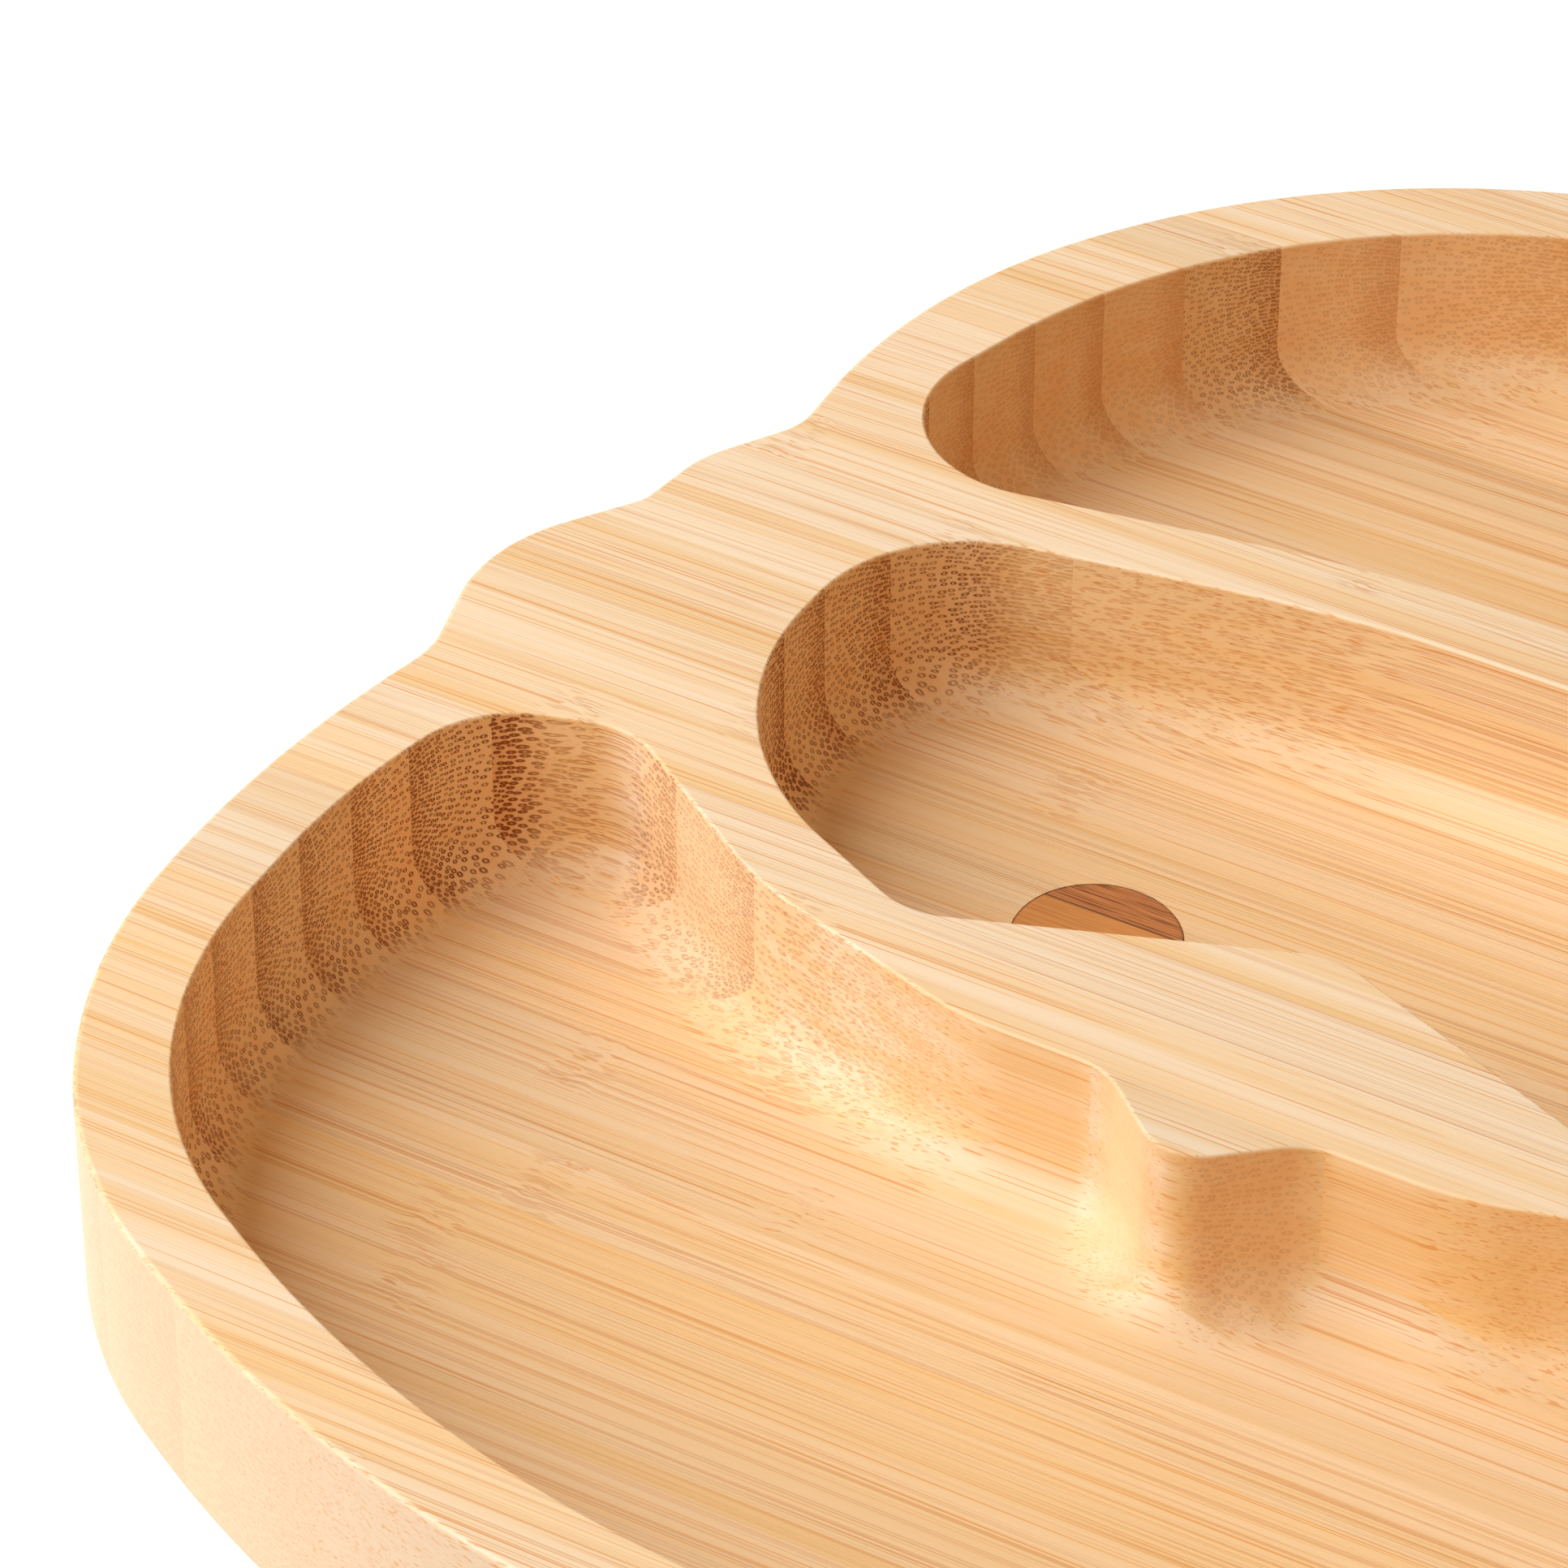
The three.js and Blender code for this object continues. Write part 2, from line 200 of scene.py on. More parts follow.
def dome_corners():
    """Back tray: its near side runs a divider's width behind the middle tray, and its other sides touch
    the dome's circle, at its top and at the angle where they leave it."""
    far_corner, forehead = np.array(FACE_CORNERS[-2:])
    near_heading = math.atan2(*(forehead - far_corner)[1::-1])
    near_point = forehead[:2] - left_of(near_heading) * DIVIDER
    near_top = (0.0, forehead[1] + DIVIDER)
    leaving_heading = DOME_ANGLE + math.pi / 2
    leaving_point = DOME_CENTRE - left_of(leaving_heading) * DOME_RADIUS
    top_point = np.add(DOME_CENTRE, (0.0, DOME_RADIUS))
    return [
        (*crossing(near_top, 0.0, near_point, near_heading), forehead[2]),
        (*crossing(near_point, near_heading, leaving_point, leaving_heading), DOME_CORNER_RADIUS),
        (*crossing(leaving_point, leaving_heading, top_point, 0.0), DOME_RADIUS),
    ]


EYE_SPACING = 50.4
EYE_RISE = 98.9
EYE_POINTS = 128
SOCKET_RADIUS = 6.95
SOCKET_FLOOR = 2.5


def eye_centre(side):
    """The middle of the left eye for side -1, and of the right eye for side 1."""
    return np.array([side * EYE_SPACING / 2, FRONT_EDGE + EYE_RISE])


def eye_directions():
    """Unit vectors that point out from an eye's middle, evenly all round."""
    angle = np.arange(EYE_POINTS) / EYE_POINTS * 2 * math.pi
    return np.stack([np.cos(angle), np.sin(angle)], axis=-1)


def socket_ring(side):
    """The circle of an eye's socket, as points and the inward direction at each."""
    outward = eye_directions()
    return eye_centre(side) + outward * SOCKET_RADIUS, -outward


board_corners = mirrored([*MUZZLE_CORNERS, *SIDE_CORNERS])
muzzle_inset = inset(board_corners, MUZZLE_RIM)[:len(MUZZLE_CORNERS)] - (0, FRONT_EDGE, 0)
tray_corners = [
    mirrored([*muzzle_inset, *POCKET_CORNERS]),
    mirrored(FACE_CORNERS),
    mirrored(dome_corners()),
]
socket_profile = (np.zeros(2), np.array([SOCKET_FLOOR, TRAY_FLOOR]))
walls = [carried(*outline(board_corners), side_profile())]
walls += [carried(*outline(corners), tray_profile()) for corners in tray_corners]
walls += [carried(*socket_ring(side), socket_profile) for side in (-1, 1)]

SAME_HEIGHT = 0.01
SHARP_ANGLE = math.radians(50)


def closed_board(surfaces):
    """The board as one closed mesh: the carried walls, and flat faces that fill the rings they end in at
    the underside, the sockets' floors, the trays' floors and the top. The first wall is the outer side, and
    an attribute marks its points. Edges are smooth up to the sharp angle."""
    points, quads = zip(*surfaces)
    starts = np.cumsum([0] + [len(part) for part in points])
    vertices = np.vstack(points)
    faces = np.vstack([part + start for part, start in zip(quads, starts)])
    mesh = bpy.data.meshes.new("board")
    mesh.from_pydata(vertices.tolist(), [], faces.tolist())
    outer_side = mesh.attributes.new("outer_side", "FLOAT", "POINT")
    outer_side.data.foreach_set("value", (np.arange(len(vertices)) < starts[1]).astype(np.float32))
    shape = bmesh.new()
    shape.from_mesh(mesh)
    bpy.data.meshes.remove(mesh)
    for height in (0.0, SOCKET_FLOOR, TRAY_FLOOR, THICKNESS):
        level = [edge for edge in shape.edges if edge.is_boundary
                 and all(abs(vertex.co.z - height) < SAME_HEIGHT for vertex in edge.verts)]
        bmesh.ops.triangle_fill(shape, use_beauty=True, edges=level, normal=(0, 0, 1))
    bmesh.ops.recalc_face_normals(shape, faces=shape.faces)
    for face in shape.faces:
        face.smooth = True
    for edge in shape.edges:
        edge.smooth = edge.calc_face_angle(0.0) < SHARP_ANGLE
    return shape


# Bamboo strips
# Each strip is solid bamboo, 7 mm thick and as tall as the board, glued to its neighbours and milled with
# them. Its fibre bundles run along the grain, packed close on the side that was near the stem's skin.

STRIP_PITCH = 7.0
FIRST_JOINT = -93.5


class Finish:
    """A material's node tree, with short ways to add sums, noises and colour mixes to it. Places are in
    millimetres."""

    def __init__(self, name):
        self.material = bpy.data.materials.new(name)
        self.material.use_nodes = True
        self.tree = self.material.node_tree
        self.shader = self.tree.nodes["Principled BSDF"]
        place = self.tree.nodes.new("ShaderNodeTexCoord")
        self.normal = place.outputs["Normal"]
        self.place = self.vector("SCALE", place.outputs["Object"], scale=1 / MM)

    def feed(self, socket, value):
        """Links another node's output to a socket, or sets a plain value there."""
        if isinstance(value, bpy.types.NodeSocket):
            self.tree.links.new(value, socket)
        else:
            socket.default_value = value

    def sum(self, operation, *values):
        """One step of arithmetic with numbers."""
        node = self.tree.nodes.new("ShaderNodeMath")
        node.operation = operation
        for socket, value in zip(node.inputs, values):
            self.feed(socket, value)
        return node.outputs[0]

    def vector(self, operation, *values, scale=None):
        """One step of arithmetic with vectors."""
        node = self.tree.nodes.new("ShaderNodeVectorMath")
        node.operation = operation
        for socket, value in zip(node.inputs, values):
            self.feed(socket, value)
        if scale is not None:
            self.feed(node.inputs["Scale"], scale)
        return node.outputs["Value" if operation in ("LENGTH", "DOT_PRODUCT") else "Vector"]

    def parts(self, vector):
        """The x, y and z of a vector."""
        node = self.tree.nodes.new("ShaderNodeSeparateXYZ")
        self.feed(node.inputs[0], vector)
        return node.outputs[0], node.outputs[1], node.outputs[2]

    def joined(self, x, y, z):
        """The vector of an x, y and z."""
        node = self.tree.nodes.new("ShaderNodeCombineXYZ")
        for socket, value in zip(node.inputs, (x, y, z)):
            self.feed(socket, value)
        return node.outputs[0]

    def ease(self, value, low, high, start=0.0, end=1.0):
        """A smooth step from start to end while the value goes from low to high."""
        node = self.tree.nodes.new("ShaderNodeMapRange")
        node.interpolation_type = "SMOOTHSTEP"
        titles = ("Value", "From Min", "From Max", "To Min", "To Max")
        for title, entry in zip(titles, (value, low, high, start, end)):
            self.feed(node.inputs[title], entry)
        return node.outputs["Result"]

    def noise(self, place, waves, detail, shift=(0.0, 0.0, 0.0), output="Fac", rough=0.5):
        """Smooth noise with so many waves per millimetre along x, y and z, moved by a shift."""
        node = self.tree.nodes.new("ShaderNodeTexNoise")
        self.feed(node.inputs["Vector"], self.vector("MULTIPLY_ADD", place, waves, shift))
        node.inputs["Scale"].default_value = 1.0
        node.inputs["Detail"].default_value = detail
        node.inputs["Roughness"].default_value = rough
        return node.outputs[output]

    def sway(self, waves, shift):
        """A noise vector about zero, with parts between about -0.5 and 0.5."""
        noise = self.noise(self.place, waves, 1.0, shift, "Color")
        return self.vector("SUBTRACT", noise, (0.5, 0.5, 0.5))

    def mix(self, share, first, second, blend="MIX"):
        """A share of the second colour over the first."""
        node = self.tree.nodes.new("ShaderNodeMix")
        node.data_type = "RGBA"
        node.blend_type = blend
        colours = [socket for socket in node.inputs if socket.type == "RGBA"]
        self.feed(node.inputs[0], share)
        self.feed(colours[0], first)
        self.feed(colours[1], second)
        return next(socket for socket in node.outputs if socket.type == "RGBA")

    def layered(self, base, *layers):
        """A colour under layers of others, each given as its share and its colour."""
        for share, cover in layers:
            base = self.mix(share, base, cover)
        return base

    def attribute(self, name):
        """What a piece's mesh holds under a name, as a vector."""
        node = self.tree.nodes.new("ShaderNodeAttribute")
        node.attribute_name = name
        return node.outputs["Vector"]

    def bump(self, height, depth):
        """Relief in the surface, from a height that is counted in units of the depth."""
        node = self.tree.nodes.new("ShaderNodeBump")
        node.inputs["Distance"].default_value = depth * MM
        self.feed(node.inputs["Height"], height)
        self.feed(self.shader.inputs["Normal"], node.outputs[0])


def colour(red, green, blue):
    """A colour written as the screen shows it, 0 to 255, in the linear light that shaders work in."""
    screen = np.array([red, green, blue]) / 255
    linear = np.where(screen <= 0.04045, screen / 12.92, ((screen + 0.055) / 1.055) ** 2.4)
    return (*linear.tolist(), 1.0)


WANDER_WAVES = (0.008, 0.09, 0.09)
WANDER_REACH = 1.5
TANGLE_WAVES = (0.3, 0.4, 0.4)
TANGLE_REACH = 0.9


def straightened(finish, near_knot, shift):
    """Where a point would lie if its fibre ran straight. The point is moved by a slow sway along the whole
    fibre, because fibres wander as they run, and by a quick one near the stem's joint, where they tangle."""
    wander = finish.vector("SCALE", finish.sway(WANDER_WAVES, shift), scale=WANDER_REACH)
    tangled = finish.sum("MULTIPLY", near_knot, TANGLE_REACH)
    tangle = finish.vector("SCALE", finish.sway(TANGLE_WAVES, shift), scale=tangled)
    return finish.vector("ADD", finish.place, finish.vector("ADD", wander, tangle))


SKIN_PITCH = 0.39
SKIN_RADIUS = 0.148
RADIUS_GROWTH = 0.009
SPREAD = 10.0
CELL_JITTER = 0.5
BUNDLE_DEEP = 1.12
BUNDLE_WIDE = 0.92
# Factor on a bundle's radius: what luck adds to it, and its least
SIZE_LUCK = (0.3, 0.85)


def bundles(finish, depth, z, coarse, shift):
    """Fibre bundles seen end on, in a lattice whose cells grow evenly with depth below the stem's skin. A
    point is laid on a plane, at an angle of z over SPREAD round its origin and at a distance that shrinks by
    e over each SPREAD of depth, and the lattice is regular there. A bundle is an ellipse, longer in depth.
    Gives the distance from the nearest bundle's middle, in radii, how far that distance points along the
    depth, from 0 to 1, and two random numbers of that bundle."""
    shrink = finish.sum("POWER", math.e, finish.sum("DIVIDE", depth, -SPREAD))
    angle = finish.sum("DIVIDE", z, SPREAD)
    ray = finish.joined(finish.sum("COSINE", angle), finish.sum("SINE", angle), 0.0)
    pitch = finish.sum("DIVIDE", finish.sum("MULTIPLY", coarse, SKIN_PITCH), shrink)
    place = finish.vector("SCALE", ray, scale=finish.sum("DIVIDE", SPREAD, pitch))
    place = finish.vector("ADD", place, finish.vector("MULTIPLY", shift, (1.0, 1.0, 0.0)))
    cells = finish.tree.nodes.new("ShaderNodeTexVoronoi")
    cells.voronoi_dimensions = "2D"
    cells.inputs["Scale"].default_value = 1.0
    cells.inputs["Randomness"].default_value = CELL_JITTER
    finish.feed(cells.inputs["Vector"], place)
    luck = finish.parts(cells.outputs["Color"])
    offset = finish.vector("SUBTRACT", place, cells.outputs["Position"])
    deep = finish.sum("DIVIDE", finish.vector("DOT_PRODUCT", offset, ray), BUNDLE_DEEP)
    sideways = finish.vector("LENGTH", finish.vector("CROSS_PRODUCT", offset, ray))
    wide = finish.sum("DIVIDE", sideways, BUNDLE_WIDE)
    distance = finish.vector("LENGTH", finish.joined(deep, wide, 0.0))
    pointing = finish.sum("DIVIDE", finish.sum("ABSOLUTE", deep), distance)
    radius = finish.sum("MULTIPLY", finish.sum("MULTIPLY_ADD", depth, RADIUS_GROWTH, SKIN_RADIUS), coarse)
    radius = finish.sum("MULTIPLY", radius, finish.sum("MULTIPLY_ADD", luck[0], *SIZE_LUCK))
    reach = finish.sum("DIVIDE", finish.sum("MULTIPLY", distance, pitch), radius)
    return reach, pointing, luck[1], luck[2]


# A pair that ends in FADE is where a smooth step begins and ends.
# Stem's joint: distance along the grain
KNOT_FADE = (0.5, 4.0)
# Core and sheath: distance from a bundle's middle in radii, and depth below the skin
CORE_FADE = (0.2, 0.6)
CORE_DEPTH = 4.0
CORE_PALENESS = (0.5, 0.95)
SHEATH_FADE = (0.8, 1.2)
SHEATH_DEPTH = 6.0
DEEP_SHEATH = 0.75
# Factors on a sheath's strength: what luck, or pointing along the depth, adds to each, and its least
SHEATH_LUCK = (0.4, 0.6)
SHEATH_ENDS = (0.5, 0.6)

# Kinds of face: height above the table, or a part of the direction that the face looks in
TOP_FADE = (19.4, 19.8)
UPRIGHT_FADE = (0.3, 0.8)
# Faces that look towards the lamp, at -x, get painted light
LIT_SIDE_FADE = (-0.6, -0.05)
FLOOR_FADE = (0.5, 0.95)
# Upright faces that look away from the lamp get painted shade
SHADE_SIDE_FADE = (-0.3, 0.3)
END_GRAIN_FADE = (0.14, 0.6)

# Share of the bundles that each kind of face hides, how much of it a knot gives back, and what paling leaves
TOP_SHUT = 0.5
KNOT_OPENING = 0.3
# Painted light: bundles faded on faces that look towards the lamp
LIT_SIDE_SHUT = 0.65
# Painted glare: bundles faded on the outer side, as if washed out by light from the white table
OUTER_GLARE_SHUT = 0.82
PALING_LENGTH = 20.0
PALED_SHARE = 0.25
# Lines that bundles draw along the grain: the luck they need, their strength, and its least in two places
DRAWING_FADE = (0.45, 0.95)
DRAWING = (0.08, 0.7)
KNOT_DRAWING = 0.6
WALL_DRAWING = 0.6

# Bands, streaks and lines: waves per millimetre, where they show, and how much they warm the colour
BAND_WAVES = (0.006, 0.45, 0.45)
BAND_FADE = (0.3, 0.7)
BAND_WARMTH = 0.6
STREAK_WAVES = (0.02, 4.5, 4.5)
STREAK_GRIT = 0.65
STREAK_FADE = (0.45, 0.8)
STREAK_WARMTH = 0.35
LINE_WAVES = (0.014, 6.0, 6.0)
LINE_FADE = (0.6, 0.67)
SKIN_DEPTH = 3.0
SKIN_WARMTH = 0.2

# Colours along and across the grain, with the share of those that lie over others
PALE_ALONG = colour(252, 234, 208)
WARM_ALONG = colour(244, 206, 148)
OILED_FLOOR = colour(242, 200, 138)
FLOOR_SHARE = 0.42
# Painted shade: a deeper, warmer colour on upright faces that look away from the lamp
PAINTED_SHADE_WALL = colour(248, 204, 128)
SHADE_WALL_SHARE = 0.6
# Painted light: a paler, pinker colour on the outer side, as if lit by the white table
TABLE_LIT_SIDE = colour(232, 208, 180)
TABLE_LIT_SHARE = 0.85
LINE_BROWN = colour(228, 158, 82)
LINE_SHARE = 0.7
BUNDLE_BROWN = colour(206, 128, 54)
BUNDLE_SHARE = 0.6
PALE_ACROSS = colour(255, 216, 168)
WARM_ACROSS = colour(250, 198, 140)
SKIN_BROWN = colour(214, 146, 86)
SKIN_SHARE = 0.35
# Painted light: a paler cream on end grain that looks towards the lamp
PAINTED_LIGHT_CREAM = colour(246, 213, 174)
LIT_SIDE_SHARE = 0.5
SHEATH_BROWN = colour(148, 76, 10)

# Satin surface with shallow pores
GLOSS_FADE = (0.2, 0.8)
BAMBOO_ROUGHNESS = (0.5, 0.62)
SATIN_SPECULAR = 0.35
STREAK_RELIEF = 0.35
PORE_DEPTH = 0.03


def bamboo():
    """Solid bamboo, the same through and through, so that one pattern gives round bundles on faces cut
    across the grain, ovals in the coves and long lines on faces cut along it."""
    finish = Finish("bamboo")
    x, y, z = finish.parts(finish.place)
    normal_x, normal_z = finish.parts(finish.normal)[::2]
    tone, warm, contrast = finish.parts(finish.attribute("strip_look"))
    skin_y, inward, coarse = finish.parts(finish.attribute("strip_skin"))
    knot, pale_from = finish.parts(finish.attribute("strip_knot"))[:2]
    shift = finish.attribute("strip_shift")

    # Depth below the stem's skin, of the point itself and of its fibre
    near_knot = finish.ease(finish.sum("ABSOLUTE", finish.sum("SUBTRACT", x, knot)), *KNOT_FADE, 1.0, 0.0)
    fibre = straightened(finish, near_knot, shift)
    fibre_y, fibre_z = finish.parts(fibre)[1:]
    depth = finish.sum("MULTIPLY", finish.sum("SUBTRACT", y, skin_y), inward)
    fibre_depth = finish.sum("MULTIPLY", finish.sum("SUBTRACT", fibre_y, skin_y), inward)

    # Each bundle has a dark sheath round a pale core, darkest at its two ends in depth
    reach, pointing, luck, shows = bundles(finish, fibre_depth, fibre_z, coarse, shift)
    paleness = finish.ease(depth, 0.0, CORE_DEPTH, *CORE_PALENESS)
    core = finish.sum("MULTIPLY", finish.ease(reach, *CORE_FADE, 1.0, 0.0), paleness)
    ring = finish.sum("SUBTRACT", finish.ease(reach, *SHEATH_FADE, 1.0, 0.0), core)
    strength = finish.sum("MULTIPLY", finish.ease(depth, 0.0, SHEATH_DEPTH, 1.0, DEEP_SHEATH), contrast)
    strength = finish.sum("MULTIPLY", strength, finish.sum("MULTIPLY_ADD", luck, *SHEATH_LUCK))
    strength = finish.sum("MULTIPLY", strength, finish.sum("MULTIPLY_ADD", pointing, *SHEATH_ENDS))

    # Sanding closes the pores on the top. Faces that look towards the lamp have their bundles faded, as
    # painted light, and the outer side has them faded as painted glare from the white table.
    top = finish.ease(z, *TOP_FADE)
    upright = finish.ease(finish.sum("ABSOLUTE", normal_z), *UPRIGHT_FADE, 1.0, 0.0)
    outer = finish.sum("MULTIPLY", finish.parts(finish.attribute("outer_side"))[0], upright)
    # Painted light on faces that look towards the lamp, at -x
    lit_side = finish.ease(normal_x, *LIT_SIDE_FADE, 1.0, 0.0)
    shut_top = finish.sum("MULTIPLY", top, finish.sum("MULTIPLY_ADD", near_knot, -KNOT_OPENING, TOP_SHUT))
    shut_lit_side = finish.sum("MULTIPLY", lit_side, LIT_SIDE_SHUT)
    # Painted glare on the outer side
    shut_by_glare = finish.sum("MULTIPLY", outer, OUTER_GLARE_SHUT)
    shut = finish.sum("MAXIMUM", shut_top, finish.sum("MAXIMUM", shut_lit_side, shut_by_glare))
    paled = finish.ease(x, pale_from, finish.sum("ADD", pale_from, PALING_LENGTH), 1.0, PALED_SHARE)
    opened = finish.sum("MULTIPLY", ring, finish.sum("MULTIPLY", finish.sum("SUBTRACT", 1.0, shut), paled))
    sheath = finish.sum("MULTIPLY", opened, strength)

    # Along the grain only some bundles draw a line, except at a joint of the stem and on walls
    at_knot = finish.sum("MULTIPLY", near_knot, KNOT_DRAWING)
    on_wall = finish.sum("MULTIPLY", upright, WALL_DRAWING)
    drawing = finish.ease(shows, *DRAWING_FADE, *DRAWING)
    drawing = finish.sum("MAXIMUM", drawing, finish.sum("MAXIMUM", at_knot, on_wall))
    drawn = finish.sum("MULTIPLY", finish.sum("MULTIPLY", opened, drawing), BUNDLE_SHARE)

    # Soft bands, fine streaks and the skin's side warm the colour, and thin lines are drawn over it
    bands = finish.noise(finish.place, BAND_WAVES, 2.0, shift)
    streaks = finish.noise(finish.place, STREAK_WAVES, 2.0, shift, rough=STREAK_GRIT)
    lines = finish.noise(fibre, LINE_WAVES, 1.0, shift)
    lined = finish.ease(lines, *LINE_FADE, 0.0, LINE_SHARE)
    near_skin = finish.ease(depth, 0.0, SKIN_DEPTH, 1.0, 0.0)
    streak_warmth = finish.ease(streaks, *STREAK_FADE, 0.0, STREAK_WARMTH)
    warmth = finish.sum("ADD", finish.ease(bands, *BAND_FADE, 0.0, BAND_WARMTH), streak_warmth)
    warmth = finish.sum("ADD", finish.sum("MULTIPLY_ADD", near_skin, SKIN_WARMTH, warmth), warm)

    # Faces cut along the grain are pale, and faces cut across it and the trays' floors soak up oil. Upright
    # faces that look away from the lamp get a deeper, warmer colour, which is painted shade, and the outer
    # side a paler, pinker one, which is painted light from the white table.
    floor_share = finish.ease(top, 0.0, 1.0, FLOOR_SHARE, 0.0)
    oiled_floor = finish.sum("MULTIPLY", finish.ease(normal_z, *FLOOR_FADE), floor_share)
    # Painted shade on upright faces that look away from the lamp
    shade_side_wall = finish.sum("MULTIPLY", upright, finish.ease(normal_x, *SHADE_SIDE_FADE, 0.0, SHADE_WALL_SHARE))
    # Painted light on the outer side from the white table
    table_lit_side = finish.sum("MULTIPLY", outer, TABLE_LIT_SHARE)
    along = finish.layered(
        finish.mix(warmth, PALE_ALONG, WARM_ALONG),
        (oiled_floor, OILED_FLOOR),
        (shade_side_wall, PAINTED_SHADE_WALL),
        (table_lit_side, TABLE_LIT_SIDE),
        (lined, LINE_BROWN),
        (drawn, BUNDLE_BROWN),
    )
    across = finish.layered(
        finish.mix(warmth, PALE_ACROSS, WARM_ACROSS),
        (finish.sum("MULTIPLY", near_skin, SKIN_SHARE), SKIN_BROWN),
        # Painted light on end grain that looks towards the lamp
        (finish.sum("MULTIPLY", lit_side, LIT_SIDE_SHARE), PAINTED_LIGHT_CREAM),
        (table_lit_side, TABLE_LIT_SIDE),
        (sheath, SHEATH_BROWN),
    )
    end_grain = finish.ease(finish.sum("ABSOLUTE", normal_x), *END_GRAIN_FADE)
    body = finish.mix(end_grain, along, across)
    body = finish.mix(1.0, body, finish.joined(tone, tone, tone), "MULTIPLY")
    finish.feed(finish.shader.inputs["Base Color"], body)
    finish.feed(finish.shader.inputs["Roughness"], finish.ease(streaks, *GLOSS_FADE, *BAMBOO_ROUGHNESS))
    finish.shader.inputs["Specular IOR Level"].default_value = SATIN_SPECULAR
    grooves = finish.sum("MULTIPLY_ADD", sheath, -1.0, finish.sum("MULTIPLY", streaks, STREAK_RELIEF))
    finish.bump(grooves, PORE_DEPTH)
    return finish.material


SAW_TOLERANCE = 1e-4


def sawn(shape, joint, keep_back):
    """What is left of a shape on one side of a glue joint, with a flat face where the saw went."""
    part = shape.copy()
    facing = -1.0 if keep_back else 1.0
    everything = [*part.verts, *part.edges, *part.faces]
    bmesh.ops.bisect_plane(part, geom=everything, dist=SAW_TOLERANCE, plane_co=(0, joint, 0),
                           plane_no=(0, facing, 0), clear_outer=True)
    rim = [edge for edge in part.edges if edge.is_boundary]
    for edge in rim:
        edge.smooth = False
    for face in bmesh.ops.holes_fill(part, edges=rim)["faces"]:
        face.smooth = False
    return part


def placed(mesh, material):
    """A finished mesh as a piece in the scene, with normals weighted by area to keep flat faces flat."""
    mesh.materials.append(material)
    piece = bpy.data.objects.new(mesh.name, mesh)
    bpy.context.scene.collection.objects.link(piece)
    even_shading = piece.modifiers.new("even_shading", "WEIGHTED_NORMAL")
    even_shading.keep_sharp = True
    return piece


# Strips are counted from the front. Up to this one, a strip's front side was the stem's skin side.
SKIN_FRONT_STRIPS = 14
# Where along the grain a strip has its joint of the stem, and how far from the middle the others have it
KNOTS = {7: -52.5, 8: -47.3, 14: -52.5, 17: -35.8, 19: -70.3, 22: -74.2, 25: -51.0, 26: -30.2}
USUAL_KNOTS = (20, 75)
# Size and contrast of the bundles in strips that differ most from the rest, and the range of the others
GRAINS = {
    11: (1.0, 1.4),
    12: (0.95, 1.5),
    13: (1.2, 1.9),
    15: (1.15, 1.8),
    19: (0.95, 0.9),
    25: (0.85, 0.9),
}
USUAL_SIZES = (0.92, 1.08)
USUAL_CONTRASTS = (1.0, 1.3)
# Strips behind this one have fainter bundles, unless GRAINS lists them
CLEAR_STRIPS = 20
FAINT_CONTRAST = 0.3
# Where along the grain the bundles of a strip begin to pale, if they do
PALING = {9: -45.0, 10: -45.0, 11: -38.0}
NO_PALING = 200.0
# Strips that are darker than the rest, and the range of the others
TONES = {9: 0.95, 10: 0.95, 25: 0.94}
USUAL_TONES = (0.99, 1.03)
WARMTHS = (-0.25, 0.25)
PATTERN_SHIFTS = (-90, 90)
PATTERN_SEED = 29

bamboo_finish = bamboo()
shape = closed_board(walls)
strip_names = sorted(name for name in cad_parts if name.startswith("bamboo_strip"))
joints = [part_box(name)[1].y / MM for name in strip_names[:-1]]
chance = np.random.default_rng(PATTERN_SEED)


def strip_piece(name, shape, number):
    """A strip as its own piece, scaled to metres, with its own look: tone, skin side, bundle size, and a
    random shift of its pattern."""
    mesh = bpy.data.meshes.new(name)
    bmesh.ops.recalc_face_normals(shape, faces=shape.faces)
    shape.to_mesh(mesh)
    mesh.transform(Matrix.Scale(MM, 4))
    skin_first = number <= SKIN_FRONT_STRIPS
    front_joint = FIRST_JOINT + STRIP_PITCH * (number - 2)
    skin_joint = front_joint if skin_first else front_joint + STRIP_PITCH
    clearness = 1.0 if number <= CLEAR_STRIPS else FAINT_CONTRAST
    usual = (chance.uniform(*USUAL_SIZES), chance.uniform(*USUAL_CONTRASTS) * clearness)
    coarse, contrast = GRAINS.get(number, usual)
    knot = KNOTS.get(number, chance.choice([-1, 1]) * chance.uniform(*USUAL_KNOTS))
    tone = TONES.get(number, chance.uniform(*USUAL_TONES))
    looks = {
        "strip_look": (tone, chance.uniform(*WARMTHS), contrast),
        "strip_skin": (skin_joint, 1 if skin_first else -1, coarse),
        "strip_knot": (knot, PALING.get(number, NO_PALING), 0),
        "strip_shift": chance.uniform(*PATTERN_SHIFTS, 3),
    }
    for title, values in looks.items():
        attribute = mesh.attributes.new(title, "FLOAT_VECTOR", "POINT")
        attribute.data.foreach_set("vector", np.tile(values, len(mesh.vertices)).astype(np.float32))
    return placed(mesh, bamboo_finish)


for number, node in enumerate(strip_names, start=1):
    last = number == len(strip_names)
    strip_shape = shape if last else sawn(shape, joints[number - 1], False)
    piece = strip_piece(node.replace("bamboo_strip", "milled_strip"), strip_shape, number)
    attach(piece, "root")
    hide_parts(node)
    if not last:
        shape = sawn(shape, joints[number - 1], True)


# Eye inlays
# Each eye is a disc of dark, steamed bamboo, cut from two strips, glued into its socket and sanded flush
# with the tray's floor. The cutter leaves its edge a little scorched.

